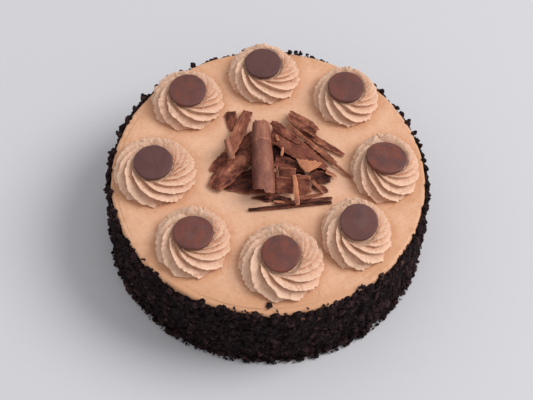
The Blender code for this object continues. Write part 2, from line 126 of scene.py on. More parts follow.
# Flat shavings run from start to end over the cake's top, with their widths at the start, middle and end.
# Tear is how ragged the border is, and grain how deep the lengthwise ridges are. Tone goes from dark plum at
# 0 to light orange at 1. Roll lifts the left edge, bow arches the sheet and slants skew its ends.
FIELDS = "name start end widths thickness tear grain tone roll bow slants"
Shard = namedtuple("Shard", FIELDS, defaults=(0, 0, (0, 0)))
SHARDS = list(itertools.starmap(Shard, [
    ("stick_front", (-13.6, -33.6, 1.5), (47.2, -23.7, 1.5), (2.5, 3.1, 2.6), 2.2, 0.3, 0.15, 0.13),
    ("stick_front_back", (4.9, -27.2, 1.3), (47.4, -20.1, 1.3), (1.9, 2.3, 2), 1.8, 0.3, 0.15, 0.25),
    ("leaf_front_left", (-32, -13.6, 0.95), (6.4, -3.9, 0.95), (6, 21.6, 28.6), 1.2, 0.5, 0.05, 0.22),
    ("crust_front", (-10.6, -22.6, 1), (17, -22.4, 1), (1.8, 5.6, 2.6), 1.2, 1, 0.4, 0.2),
    ("strip_front", (20.6, -22, 1), (41.2, -16.6, 1), (1.6, 3.2, 1.2), 1, 0.4, 0.1, 0.5),
    # The two under leaves have tones below 0: chocolate lying in the gaps, painted as dark as the shade
    # there.
    ("leaf_under_middle", (3, 25.4, 0.95), (26.5, -10.8, 0.95), (8, 15.2, 9), 1.2, 0.8, 0.2, -0.15),
    ("leaf_under_right", (26.5, 13.5, 0.95), (46.5, -1.5, 0.95), (8, 9, 4), 1.2, 0.8, 0.2, -0.08),
    ("leaf_low_right", (33, -9.6, 1), (44.6, -14.2, 1), (5.4, 6.2, 1.6), 1.2, 0.6, 0.2, 0.28),
    ("slat_left", (-42.6, -0.4, 1), (-31.6, 18.2, 1), (4.6, 6.2, 3.4), 1.1, 1.1, 0.35, 0.4),
    ("chip_back_left", (-30.8, 54.6, 1), (-29, 37, 1), (7.4, 7.6, 3.4), 1.2, 0.8, 0.25, 0.34),
    ("plank_left", (-40.6, -17, 3.2), (-13.8, 21.2, 5.9), (11, 18, 16.5),
     2, 1.2, 0.35, 0.35, -4, 0.2, (0, 11)),
    ("plank_back_left", (-17.6, 53.9, 3.8), (-29.6, 10.6, 9.2), (8.2, 10, 7.8),
     1.5, 0.7, 0.2, 0.5, 4, 0.15),
    ("strip_middle", (26, 29.5, 1.6), (49.8, 11, 1.2), (4.2, 6.2, 3.4), 1.3, 0.9, 0.3, 0.46),
    ("leaf_right", (1.2, 33.7, 5), (43.2, 4, 4.4), (11.6, 15.2, 4),
     1.6, 1, 0.12, 0.42, -1, 0.1, (-2.8, 0)),
    ("splinter_right", (13.3, 40.8, 6.6), (61.4, -2, 1.7), (2.2, 3, 1.6), 1.4, 0.6, 0.25, 0.55, 4),
    ("strip_right", (25, 37.2, 3.4), (55.2, 18.6, 1.6), (5, 6.2, 3.4), 1.6, 0.9, 0.3, 0.48, -10, 0.1),
    ("slab_back_right", (13.5, 51.2, 5.7), (35.6, 35, 5.9), (9, 14, 9.5),
     2.4, 1.2, 0.4, 0.46, -20, 0.1, (-2, -2)),
    ("edge_right", (0.4, 42.6, 6.6), (22.4, 24.4, 6.4), (4.6, 7.6, 3.6), 1.1, 1, 0.3, 0.34),
    ("leaf_middle", (5, 10.6, 2.6), (26, 3.4, 2.5), (10.2, 9.6, 5.4), 1.1, 0.9, 0.15, 0.26),
    ("plum_right", (30.6, -0.8, 2.9), (45.8, -4.6, 2.6), (6.5, 11.5, 6.5), 1.2, 0.9, 0.12, 0.15, 0, 0.05),
    ("tip_right", (42.6, 0.2, 5.4), (50.4, -1.8, 2.7), (3, 3, 1), 1, 0.6, 0.1, 0.62),
    ("peg_middle", (9.8, 19, 7.1), (9.3, 12.9, 4.5), (1.6, 2.4, 1.2), 1, 0.3, 0.1, 0.8),
    ("chip_middle", (7.9, -1.6, 4.6), (20.1, -1.6, 4.6), (7.2, 7.6, 7.2), 1.3, 0.5, 0.2, 0.4, 35),
    ("chip_front", (5.8, -13.4, 5.6), (18.8, -13.4, 5.6), (11.8, 12, 11.8), 1.4, 0.6, 0.2, 0.38, 31),
    ("chip_front_right", (20.6, -12.4, 4.6), (31, -11, 4.6), (15.4, 14.4, 11.6),
     1.4, 0.8, 0.25, 0.42, 28),
    ("thorn_right", (32, -7.2, 4.6), (40.8, -16.6, 2.6), (1.8, 3.2, 1), 1.1, 0.5, 0.2, 0.52, -20, 0.2),
    ("sliver_middle", (6, 4.6, 4), (6.2, -5, 2.4), (1.2, 1.6, 1), 1, 0.3, 0.1, 0.5),
    # leaf_tip_right's light orange tone is partly its own light brown and partly painted light where the
    # curled tip catches the light.
    ("leaf_tip_right", (29.8, 8.4, 7.2), (28.2, -1.6, 6.2), (19, 13, 1.6), 1.2, 0.5, 0.03, 0.84, 0, 0.1),
    ("ribbon_front", (19, -7.5, 10.5), (22.2, -30.3, 6), (3, 3.6, 2.6), 1, 0.3, 0.1, 0.78, 0, 0.3),
    ("flake_beside_curl", (4.6, 30.2, 7.5), (6.6, 25.4, 6.5), (1.6, 2.6, 1.4), 1, 0.4, 0.1, 0.66),
    ("bit_front", (4.6, -26.2, 3.1), (12, -26.5, 3.1), (1.2, 1.8, 1), 1, 0.4, 0.1, 0.74),
]))
# Shavings that rolled up. Turn is how far round the sheet goes and open_at is where its slit faces. The front
# end slopes back by CUT_BACK of the radius, and the radius loses NARROWING of itself towards the start.
CUT_BACK, NARROWING = 0.65, 0.25
Curl = namedtuple("Curl", "name start end radius thickness turn open_at notch tear tone")
CURLS = [
    Curl("curl_large", (-7.3, 38.2, 9.6), (-2.2, -29.2, 9.8), 8.4, 1.3, 300, -90, 4.0, 0.9, 0.50),
    Curl("curl_small", (-32.3, 20.8, 12.8), (-26.6, 1.0, 13.2), 2.7, 0.9, 290, -60, 0, 0.8, 0.62),
]

# The coat's mean radius, the height of its upper edge, the shares of crumbs that lie on its rim and foot, and
# the radii between which those lie.
COAT_RADIUS, COAT_TOP = 118.7, 65.2
SHARE_AT_RIM, SHARE_AT_FOOT = 0.13, 0.10
RIM_BAND, FOOT_BAND = (116.3, 119.6), (119.5, 123.4)
# How far a rounder crumb is squashed, and how far its corners are pushed in or out.
ROUND_CRUMB = {"squash": (0.72, 1.1), "jitter": (0.84, 1.14)}
# Clumps that stick out beyond the rim: direction in degrees, size of the group, how many and their size.
RIM_CLUMPS = [
    (122, 2.2, 7, 3), (127, 1.8, 6, 2.6), (133, 2.8, 12, 3.6), (139, 2.4, 9, 3.2),
    (146, 2.8, 12, 3.8), (152, 2, 8, 3), (158, 2.8, 11, 3.4), (165, 2.4, 9, 3.2),
    (173, 2.8, 11, 3.4), (181, 2.4, 9, 3), (190, 2.8, 11, 3.4), (199, 2.6, 10, 3.2),
    (44, 2.4, 9, 3.2), (34, 2, 7, 2.8), (27, 2.2, 8, 3), (18, 1.8, 6, 2.6),
    (9, 2.2, 8, 3), (-2, 1.8, 6, 2.6), (-12, 2.2, 8, 3),
]
# Crumbs that lie on the cream: place, size of the group, how many and their size.
STRAY_CRUMBS = [
    (4.6, -110.6, 1.7, 16, 2.6), (3.6, -112, 1.4, 8, 1.8), (9.8, -114.6, 1, 4, 1.5),
    (-20.5, -114, 1.2, 5, 1.6), (31, -112, 1, 4, 1.3), (69.6, -93.6, 1.8, 10, 2.4),
    (-22.3, 115, 1.6, 12, 2.6), (13.2, 115.8, 1.2, 10, 3.2), (17.6, 115.4, 1, 7, 2.8),
    (22, 114.8, 1.2, 8, 2.8), (27, 113.8, 0.9, 5, 2.2), (57.5, 101.4, 1, 6, 2.2),
    (62.6, 98.6, 0.9, 4, 1.9), (-86, -78, 1.4, 5, 1.6),
]


def lattice(points, seed):
    """Smooth noise from -1 to 1: a random number at each whole-number corner, blended by smoothstep."""
    cell = np.floor(points).astype(np.int64)
    share = points - cell
    share = share * share * (3 - 2 * share)
    total = np.zeros(points.shape[:-1])
    for corner in itertools.product((0, 1), repeat=3):
        spot = cell + corner
        mixed = (spot[..., 0] * 73856093) ^ (spot[..., 1] * 19349663) ^ (spot[..., 2] * 83492791)
        mixed = mixed ^ (seed * 40503)
        mixed = (mixed & 0xFFFFFFFF) * 1274126177 & 0xFFFFFFFF
        mixed = ((mixed >> 15) ^ mixed) * 668265263 & 0xFFFFFFFF
        value = ((mixed >> 16) & 0xFFFF) / 32767.5 - 1
        total += value * np.prod(np.where(corner, share, 1 - share), axis=-1)
    return total


def fractal(points, seed, octaves=3):
    """Layers of lattice noise, each twice as fine and half as strong as the one before."""
    total, reach = 0, 1.0
    for octave in range(octaves):
        total = total + reach * lattice(points * 2**octave, seed + 17 * octave)
        reach /= 2
    return total


def smooth(value, low, high):
    """0 below low, 1 above high, and a smoothstep between them."""
    share = np.clip((value - low) / (high - low), 0, 1)
    return share * share * (3 - 2 * share)


def spread(*parts):
    """Arrays of coordinates, brought to one shape and stacked into points."""
    return np.stack(np.broadcast_arrays(*parts), axis=-1).astype(float)


def noise_over(x, y, cell, third, seed, octaves):
    """Layered noise over a plane, with lumps about one cell across. The third number sets layers apart."""
    return fractal(spread(x / cell, y / cell, third), seed, octaves)


def ring_points(angle, radius, height):
    return spread(radius * np.cos(angle), radius * np.sin(angle), height)


def quads(rows, columns, wrap_rows=False, wrap_columns=True):
    """Corner numbers of the quads of a grid of points, which may close on itself either way."""
    index = np.arange(rows * columns).reshape(rows, columns)
    if wrap_columns:
        index = np.concatenate([index, index[:, :1]], axis=1)
    if wrap_rows:
        index = np.concatenate([index, index[:1]], axis=0)
    corners = (index[:-1, :-1], index[:-1, 1:], index[1:, 1:], index[1:, :-1])
    return np.stack(corners, axis=-1).reshape(-1, 4)


def fan(ring, pole):
    """Triangles from a closed ring of corner numbers to one pole."""
    return np.stack([ring, np.roll(ring, -1), np.full(len(ring), pole)], axis=-1)


def closed_grid(points, first_pole, last_pole):
    """Points and faces of a grid that is closed sideways and ends in a pole at its first and its last row."""
    rows, columns = points.shape[:2]
    every = np.concatenate([points.reshape(-1, 3), [first_pole, last_pole]])
    first = np.arange(columns)
    last = first + (rows - 1) * columns
    faces = [quads(rows, columns), fan(first[::-1], rows * columns), fan(last, rows * columns + 1)]
    return every, faces


def two_sided(upper, lower):
    """Points and faces of a closed sheet: an upper and a lower grid with a wall round their border."""
    rows, columns = upper.shape[:2]
    count = rows * columns
    flat = quads(rows, columns, wrap_columns=False)
    index = np.arange(count).reshape(rows, columns)
    border = np.concatenate([index[0, :-1], index[:-1, -1], index[-1, :0:-1], index[:0:-1, 0]])
    after = np.roll(border, -1)
    wall = np.stack([border, border + count, after + count, after], axis=-1)
    points = np.concatenate([upper.reshape(-1, 3), lower.reshape(-1, 3)])
    return points, [flat[:, ::-1], flat + count, wall[:, ::-1]]


def add_object(name, data):
    thing = bpy.data.objects.new(name, data)
    bpy.context.scene.collection.objects.link(thing)
    return thing


def add_piece(name, points, faces, finish, marks, smooth_faces=True):
    """A mesh object from points in millimetres and arrays of corner numbers. It rides on the cake's body.

    Marks are what its material reads at each point: one number, or three.
    """
    mesh = bpy.data.meshes.new(name)
    corners = np.concatenate([each.reshape(-1) for each in faces])
    sizes = np.concatenate([np.full(len(each), each.shape[1]) for each in faces])
    mesh.vertices.add(len(points))
    mesh.vertices.foreach_set("co", (points * MM).astype(np.float32).ravel())
    mesh.loops.add(len(corners))
    mesh.loops.foreach_set("vertex_index", corners.astype(np.int32))
    mesh.polygons.add(len(sizes))
    mesh.polygons.foreach_set("loop_start", (np.cumsum(sizes) - sizes).astype(np.int32))
    mesh.update(calc_edges=True)
    for key, values in marks.items():
        wide = values.ndim == 2
        mark = mesh.attributes.new(key, "FLOAT_VECTOR" if wide else "FLOAT", "POINT")
        mark.data.foreach_set("vector" if wide else "value", values.astype(np.float32).ravel())
    if mesh.validate():
        raise RuntimeError(f"{name}: the mesh has faulty faces")
    if smooth_faces:
        mesh.shade_smooth()
    else:
        mesh.shade_flat()
    mesh.materials.append(finish)
    piece = add_object(name, mesh)
    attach(piece, "root")
    return piece


class Wire:
    """A shader socket's value. Arithmetic on it adds Math nodes."""

    def __init__(self, finish, socket):
        self.finish, self.socket = finish, socket

    def math(self, operation, first, second):
        return self.finish.node("ShaderNodeMath", {"operation": operation}, {0: first, 1: second})

    def __add__(self, other):
        return self.math("ADD", self, other)

    __radd__ = __add__

    def __sub__(self, other):
        return self.math("SUBTRACT", self, other)

    def __rsub__(self, other):
        return self.math("SUBTRACT", other, self)

    def __mul__(self, other):
        return self.math("MULTIPLY", self, other)

    __rmul__ = __mul__

    def between(self, low, high):
        """0 below low, 1 above high."""
        settings = {"interpolation_type": "SMOOTHSTEP"}
        inputs = {"Value": self, "From Min": low, "From Max": high}
        return self.finish.node("ShaderNodeMapRange", settings, inputs)


class Finish:
    """One material: its Principled shader and the nodes that feed it."""

    def __init__(self, name, **constants):
        self.material = bpy.data.materials.new(name)
        self.material.use_nodes = True
        self.tree = self.material.node_tree
        self.shader = next(n for n in self.tree.nodes if n.type == "BSDF_PRINCIPLED")
        for key, value in constants.items():
            self.shader.inputs[key.replace("_", " ").title().replace("Ior", "IOR")].default_value = value
        self.place = self.node("ShaderNodeTexCoord", {}, {}, "Object")

    def feed(self, socket, value):
        if isinstance(value, Wire):
            self.tree.links.new(value.socket, socket)
        else:
            socket.default_value = value

    def node(self, kind, settings, inputs, output=0):
        """A node of any kind: its settings, then its sockets' values or links."""
        made = self.tree.nodes.new(kind)
        for key, value in settings.items():
            setattr(made, key, value)
        for key, value in inputs.items():
            self.feed(made.inputs[key], value)
        return Wire(self, made.outputs[output])

    def mark(self, name, output="Fac"):
        return self.node("ShaderNodeAttribute", {"attribute_name": name}, {}, output)

    def noise(self, scale, detail=3, place=None, rough=0.5):
        """Noise from 0 to 1 whose lumps are about 1 / scale across."""
        inputs = {"Vector": place or self.place, "Scale": scale, "Detail": detail, "Roughness": rough}
        return self.node("ShaderNodeTexNoise", {}, inputs)

    def dots(self, scale, size):
        """1 on small round dots, one in each cell of 1 / scale, and 0 between them."""
        inputs = {"Vector": self.place, "Scale": scale}
        away = self.node("ShaderNodeTexVoronoi", {}, inputs, "Distance")
        return 1 - away.between(size * 0.6, size)

    def stretched(self, vector, factors):
        return self.node("ShaderNodeVectorMath", {"operation": "MULTIPLY"}, {0: vector, 1: factors})

    def mix(self, mask, first, second):
        """Colours: first where the mask is 0 and second where it is 1."""
        inputs = {0: mask, 6: colour4(first), 7: colour4(second)}
        return self.node("ShaderNodeMix", {"data_type": "RGBA"}, inputs, 2)

    def ramp(self, value, stops):
        """A colour for each value, blended between stops: pairs of a place and a colour."""
        made = self.node("ShaderNodeValToRGB", {}, {"Fac": value})
        marks = made.socket.node.color_ramp.elements
        while len(marks) < len(stops):
            marks.new(0.5)
        for mark, (where, colour) in zip(marks, stops):
            mark.position, mark.color = where, (*colour, 1)
        return made

    def bump(self, *layers):
        """A normal from layers, each a height of 0 to 1 and the depth in metres that it stands for."""
        under = {}
        for height, depth in layers:
            inputs = {"Height": height, "Distance": depth, **under}
            under = {"Normal": self.node("ShaderNodeBump", {}, inputs)}
        return under["Normal"]

    def done(self, **inputs):
        for key, value in inputs.items():
            self.feed(self.shader.inputs[key.replace("_", " ").title()], value)
        return self.material


def colour4(colour):
    return colour if isinstance(colour, Wire) else (*colour[:3], 1)


def tint(colour, factor):
    return tuple(channel * factor for channel in colour[:3])


def colour_property(name, default, text):
    limits = {"size": 3, "min": 0, "max": 1}
    return FloatVectorProperty(name=name, description=text, default=default, subtype="COLOR", **limits)


def length_property(name, default, text):
    return FloatProperty(name=name, description=text, default=default * MM, unit="LENGTH", precision=5, min=0)


class CreamSettings(bpy.types.PropertyGroup):
    """The cream spread over the cake."""

    colour: colour_property("Colour", (0.83, 0.492, 0.325), "The cream where it is evenly lit")
    # Deep colour is the darker patches, and also the painted shade round the rosettes and towards the front.
    deep: colour_property("Deep colour", (0.66, 0.335, 0.18), "The cream in its darker patches")
    speck: colour_property("Specks", (0.22, 0.11, 0.07), "The grains of chocolate in the cream")
    wave: length_property("Wave", 0.16, "How uneven the spread top is")
    step: length_property("Step", 0.9, "Height of the marks that the spatula left near the rim")
    rim: length_property("Rim rounding", 2.4, "Radius of the rounded top edge")


class CrumbSettings(bpy.types.PropertyGroup):
    """The coat of dark cake crumbs."""

    colour: colour_property("Colour", (0.0115, 0.0066, 0.0092), "The crumbs")
    brown: colour_property("Brown", (0.058, 0.027, 0.028), "The palest grains of the crumbs")
    light: colour_property("Light crumbs", (0.12, 0.055, 0.038), "The few lighter crumbs")
    large: IntProperty(name="Large crumbs", description="How many are 3 to 7 mm", default=2300, min=0)
    medium: IntProperty(name="Medium crumbs", description="How many are 1.5 to 3 mm", default=5600, min=0)
    small: IntProperty(name="Small crumbs", description="How many are under 1.5 mm", default=7000, min=0)


class RosetteSettings(bpy.types.PropertyGroup):
    """The eight piped rosettes."""

    ridge: length_property("Ridge", 1.75, "Half the height of a ridge over the valley beside it")
    lean: length_property("Lean", 0.8, "How far the ridges' crests lean outwards")
    ruffle: length_property("Ruffle", 0.75, "How torn the ridges' crests are")
    # Colour shows on the crests; deep colour is painted shade in the valleys.
    colour: colour_property("Colour", (0.90, 0.60, 0.43), "The piped cream")
    deep: colour_property("Deep colour", (0.53, 0.258, 0.148), "The piped cream in the valleys")


class DiscSettings(bpy.types.PropertyGroup):
    """The chocolate discs."""

    plum: colour_property("Plum", (0.115, 0.046, 0.042), "Matte chocolate")
    rust: colour_property("Rust", (0.255, 0.060, 0.030), "Reddish bloom")
    grey: colour_property("Grey", (0.15, 0.070, 0.066), "Greyish bloom")


class ShavingSettings(bpy.types.PropertyGroup):
    """The shavings in the heap."""

    dark: colour_property("Dark", (0.028, 0.0070, 0.0050), "Chocolate in the shade of the grain")
    brown: colour_property("Brown", (0.19, 0.053, 0.033), "Chocolate on smooth faces")
    tan: colour_property("Tan", (0.35, 0.126, 0.075), "Chocolate on rough faces")
    # Orange on the thin edges is partly a painted highlight.
    orange: colour_property("Orange", (0.66, 0.265, 0.135), "Thin edges and broken faces")


class StageSettings(bpy.types.PropertyGroup):
    """Floor and light."""

    floor: colour_property("Floor", (0.64, 0.628, 0.655), "The floor")
    key: FloatProperty(name="Key light", description="Watts of the large soft light", default=212.0, min=0)
    sky: FloatProperty(name="Sky", description="Strength of the even light all round", default=0.60, min=0)


def spread_cream(cream):
    """Material of the spread cream: slow patches, fine streaks, chocolate grains, tiny bubbles and painted
    shade.
    """
    made = Finish("spread_mocha_cream", roughness=0.52)
    patches = made.noise(60, 4)
    cloud = made.noise(330, 3).between(0.3, 0.7)
    mottle = made.noise(150, 4, rough=0.6).between(0.45, 0.72)
    flat = made.stretched(made.place, (1, 1, 0))
    radius = made.node("ShaderNodeVectorMath", {"operation": "LENGTH"}, {0: flat}, "Value")
    rim = radius.between(0.098, 0.1165)
    # The near mark is painted shade: darker cream round the rosettes and towards the front.
    near = made.mark("near")
    deep = patches.between(0.3, 0.75) * 0.3 + cloud * 0.22 + rim * 0.4 + near * 0.5
    deep = deep + mottle * (0.12 + 0.25 * near + 0.3 * rim)
    colour = made.mix(deep, cream.colour, cream.deep)
    grains = made.dots(520, 0.16) * made.noise(190, 2).between(0.5, 0.62)
    colour = made.mix(grains * 0.75, colour, cream.speck)
    lumps, bubbles = made.noise(240, 3), made.dots(700, 0.22)
    normal = made.bump((made.noise(900, 4), 0.00016), (lumps, 0.0003), (bubbles, -0.00016))
    return made.done(base_color=colour, normal=normal)


def piped_cream(rosettes, cream):
    """Material of the rosettes: painted highlight on the crests, painted shade in the valleys and small pits,
    grainy.
    """
    made = Finish("piped_mocha_cream", roughness=0.55)
    crest = made.mark("crest")
    cloud = made.noise(260, 4)
    speckle = made.noise(900, 5, rough=0.7).between(0.42, 0.75)
    # The crest mark is painted light and shade: lighter on the crests, darker in the valleys.
    colour = made.mix(cloud * 0.3 + (1 - crest) * 0.62 + speckle * 0.16, rosettes.colour, rosettes.deep)
    pits = made.dots(430, 0.2) * made.noise(120, 2).between(0.5, 0.6)
    # Painted shade in the small pits.
    colour = made.mix(pits * 0.5, colour, tint(cream.speck, 1.5))
    normal = made.bump((made.noise(620, 5, rough=0.65), 0.00042), (pits, -0.0003))
    return made.done(base_color=colour, normal=normal)


def cream_height(x, y, cream):
    """Rise of the spread cream over its plane, in millimetres.

    Slow waves, streaks that follow the rim and get stronger towards it, and two low steps that run nearly
    along the rim where the spatula was lifted.
    """
    radius, angle = np.hypot(x, y), np.arctan2(y, x)
    rise = cream.wave / MM * (noise_over(x, y, 24, 0.5, 3, 2) - 0.4)
    near = smooth(radius, 70, 112)
    streak = fractal(spread(radius / 2.6, np.cos(angle) * 2.4, np.sin(angle) * 2.4), 5, 3)
    rise = rise + 0.05 * (0.35 + near) * streak
    step = cream.step / MM
    front = smooth(np.cos(angle + math.radians(82)), 0.72, 0.97)
    lip = 111.4 + 1.6 * np.sin(3 * angle + 0.4)
    rise = rise - step * front * smooth(radius, lip - 0.3, lip + 0.3)
    side = smooth(np.cos(angle - math.radians(168)), 0.5, 0.95)
    edge = 110.5 + 2.0 * np.sin(2 * angle + 1.0)
    rise = rise - 0.6 * step * side * smooth(radius, edge - 0.25, edge + 0.25)
    return rise


def painted_shade_near_rosettes(x, y):
    """Painted shade round the rosettes: 1 at a rosette's border, falling to 0 over 10 mm."""
    away = [(np.hypot((x - r.x) / r.half_x, (y - r.y) / r.half_y) - 1) * r.half_x for r in ROSETTES]
    return 1 - smooth(np.min(away, axis=0), 0, 10)


def make_spread_cream(cream):
    """A surface of revolution: its rows go out over the top, round the rim, down the side and underneath."""
    columns = 420
    angle = np.linspace(0, math.tau, columns, endpoint=False)
    round_rim = cream.rim / MM
    flat = np.concatenate([np.linspace(1.2, 100, 120), np.linspace(100.4, CAKE_RADIUS - round_rim - 0.6, 34)])
    uneven = 0.55 * fractal(ring_points(angle, 13, 0.3), 9, 3) - 0.35
    rows = []
    for radius in flat:
        shift = uneven * smooth(radius, 100, CAKE_RADIUS - round_rim)
        x, y = (radius + shift) * np.cos(angle), (radius + shift) * np.sin(angle)
        height = CAKE_HEIGHT + cream_height(x, y, cream) - 0.35 * smooth(radius, 106, 114.5)
        rows.append(spread(x, y, height))
    last = rows[-1][:, 2]
    for share in np.linspace(0.12, 1, 9):
        turn = math.pi / 2 * share
        radius = CAKE_RADIUS - round_rim * (1 - math.sin(turn)) + uneven
        height = last - round_rim * (1 - math.cos(turn))
        rows.append(ring_points(angle, radius, height))
    rows += [ring_points(angle, CAKE_RADIUS, height) for height in (60, 40, 20, 0.8)]
    rows.append(ring_points(angle, CAKE_RADIUS - 0.8, 0.0))
    points, faces = closed_grid(np.array(rows), (0, 0, float(rows[0][:, 2].mean())), (0, 0, 0))
    # Painted shade: the near mark darkens the cream towards the front and round the rosettes.
    painted_shade_at_front = 0.85 * smooth(-points[:, 1], 70, 112)
    marks = {"near": np.maximum(painted_shade_near_rosettes(points[:, 0], points[:, 1]), painted_shade_at_front)}
    piece = add_piece("spread_cream", points, faces, spread_cream(cream), marks)
    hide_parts("cake_body")


def bump_at(x, y, place, width):
    """A soft round bump, 1 at its top, whose place is a distance and a direction."""
    away_x = x - place[0] * math.cos(place[1])
    away_y = y - place[0] * math.sin(place[1])
    return np.exp(-(away_x**2 + away_y**2) / (2 * width**2))


def disc_turn(disc):
    """The rotation that tilts and leans a disc."""
    return Matrix.Rotation(math.radians(disc.lean), 3, "Y") @ Matrix.Rotation(math.radians(disc.tilt), 3, "X")


def disc_floor(piece, disc, x, y):
    """Height of the disc's underside over a point of the rosette, and its distance from the disc's middle."""
    normal = disc_turn(disc) @ Vector((0, 0, 1))
    away_x, away_y = piece.x + x - disc.x, piece.y + y - disc.y
    low = disc.z - DISC_THICKNESS / 2 - (normal.x * away_x + normal.y * away_y) / normal.z
    return low, np.hypot(away_x, away_y)


def make_rosette(number, piece, disc, rosettes, material):
    """A piped rosette on a grid of tooth angle by sweep.

    The nozzle runs clockwise round a circle without turning, so the ridge of one tooth is that same circle
    moved off centre. One side has its teeth closer together. The height is a flat-topped dome, and each
    ridge is a saw tooth over it: from its crest it falls gently inwards to a valley, and steeply outwards,
    where the crest is torn by noise and leans over.
    """
    columns = NOZZLE_TEETH * COLUMNS_PER_TOOTH
    even = math.radians(piece.turn) + np.arange(columns) * math.tau / columns
    sweep = np.linspace(0, 1, SWEEP_ROWS) ** 1.15 * (SWEEP_LAST - SWEEP_FIRST) + SWEEP_FIRST
    even, sweep = np.meshgrid(even, sweep)
    tooth = even - TIGHTENING * np.sin(even - TIGHT_SIDE)
    broad = 1 - TIGHTENING * np.cos(even - TIGHT_SIDE)
    bent = even + 0.09 * fractal(ring_points(tooth, 2.2, sweep * 1.4), 40 + number, 2)
    phase = (bent - math.radians(piece.turn)) * NOZZLE_TEETH / math.tau
    inwards = phase - np.floor(phase)
    crest = np.where(inwards < VALLEY, 1 - 2 * (inwards / VALLEY) ** 0.85, 2 * smooth(inwards, VALLEY, 1) - 1)
    tip = np.maximum(crest, 0) ** 1.6
    own = lattice(spread(np.round(phase - 0.37) % NOZZLE_TEETH * 5.3, sweep * 1.6, number * 3.1), 77)
    x = PATH_RADIUS * np.cos(tooth - sweep) + ROPE_RADIUS * np.cos(tooth)
    y = PATH_RADIUS * np.sin(tooth - sweep) + ROPE_RADIUS * np.sin(tooth)
    radius, angle = np.hypot(x, y), np.arctan2(y, x)
    share = radius / ROSETTE_RADIUS
    inside = np.maximum(1 - share**DOME_POWER, 1e-4)
    height = inside**DOME_ROUND
    steep = DOME_ROUND * inside ** (DOME_ROUND - 1) * DOME_POWER * share ** (DOME_POWER - 1)
    steep = steep * piece.height / ROSETTE_RADIUS
    length = np.hypot(1, steep)
    fade = np.minimum(1, (1 - height) / RIDGE_FADE + 0.6)
    torn = noise_over(x, y, 1.5, height * 5, 60 + number, 2)
    foot = (1 - height) ** 3
    push = rosettes.ridge / MM * fade * broad * (1 + 0.35 * own) * (1 - 0.42 * foot) * crest
    push = push + 0.5 * rosettes.ruffle / MM * tip * torn
    push = push + 0.22 * noise_over(x, y, 2.1, height * 3, 90 + number, 3)
    rough = bump_at(x, y, TAIL_PLACE, 9.0)
    push = push + 1.1 * rough * noise_over(x, y, 2.6, height * 2, 110 + number, 2)
    pits = smooth(noise_over(x, y, 1.3, 3.1, 130 + number, 2), 0.3, 0.7)
    pits = pits * smooth(noise_over(x, y, 7, 1.7, 140 + number, 2), 0.0, 0.4)
    push = push - 0.8 * pits * smooth(x, 0, 12)
    lift = piece.tail * bump_at(x, y, TAIL_PLACE, TAIL_WIDTH)
    lift = lift - DIP_DEPTH * bump_at(x, y, DIP_PLACE, DIP_WIDTH)
    radius = radius + push * steep / length + rosettes.lean / MM * tip * (1 - height) ** 0.4
    radius = radius + rosettes.ruffle / MM * torn * tip * (1 - 0.6 * height)
    radius = radius + 0.75 * foot * noise_over(x, y, 3.2, 7.7, 150 + number, 3)
    x = radius * np.cos(angle) * piece.half_x / (ROSETTE_RADIUS + 1.2)
    y = radius * np.sin(angle) * piece.half_y / (ROSETTE_RADIUS + 1.2)
    z = height * (piece.height + lift) + push / length
    low, away = disc_floor(piece, disc, x, y)
    z = np.minimum(z, low - 0.1 + 0.9 * np.maximum(away - disc.diameter / 2, 0))
    z = np.maximum(z, -0.3)
    feet = [spread(x[0] * inset, y[0] * inset, depth) for inset, depth in ROSETTE_FOOT]
    grid = np.concatenate([feet, spread(x, y, z)])
    centre = (disc.x - piece.x, disc.y - piece.y)
    low_centre = float(disc_floor(piece, disc, *centre)[0]) - 0.2
    points, faces = closed_grid(grid, (0, 0, -0.6), (*centre, low_centre))
    points = points + (piece.x, piece.y, CAKE_HEIGHT + 0.3)
    # Painted light and shade: lighter on crests and torn tips, darker in the valleys and pits.
    painted_light_and_shade = (0.5 + 0.5 * crest + 0.2 * torn - 0.5 * pits).clip(0, 1)
    marks = {"crest": np.concatenate([np.zeros(3 * columns), painted_light_and_shade.ravel(), [0, 0]])}
    made = add_piece(f"piped_rosette_{number}", points, faces, material, marks)
    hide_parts(f"rosette_{number}")


def disc_chocolate(discs):
    """Material of the discs: matte plum, with reddish and greyish bloom in soft streaks."""
    made = Finish("disc_chocolate", specular_ior_level=0.35)
    rust, bloom = made.mark("rust"), made.mark("bloom")
    streaked = made.stretched(made.place, (1.6, 0.55, 1.0))
    blotch = made.noise(150, 4, streaked, 0.6)
    fine = made.noise(620, 4, streaked, 0.7)
    patch = made.noise(95, 3)
    colour = made.mix(rust * (blotch * 0.42 + fine * 0.93).between(0.46, 0.84), discs.plum, discs.rust)
    colour = made.mix(rust * patch.between(0.5, 0.7) * 0.35, colour, discs.rust)
    colour = made.mix(bloom * made.noise(110, 3).between(0.45, 0.7) * 0.7, colour, discs.grey)
    colour = made.mix(patch.between(0.34, 0.54) * -0.45 + 0.45, colour, tint(discs.plum, 0.72))
    colour = made.mix(fine.between(0.5, 0.68) * rust * 0.75, colour, tint(discs.plum, 0.4))
    normal = made.bump((made.noise(700, 4), 0.00005))
    return made.done(base_color=colour, roughness=0.42 + 0.25 * fine, normal=normal)


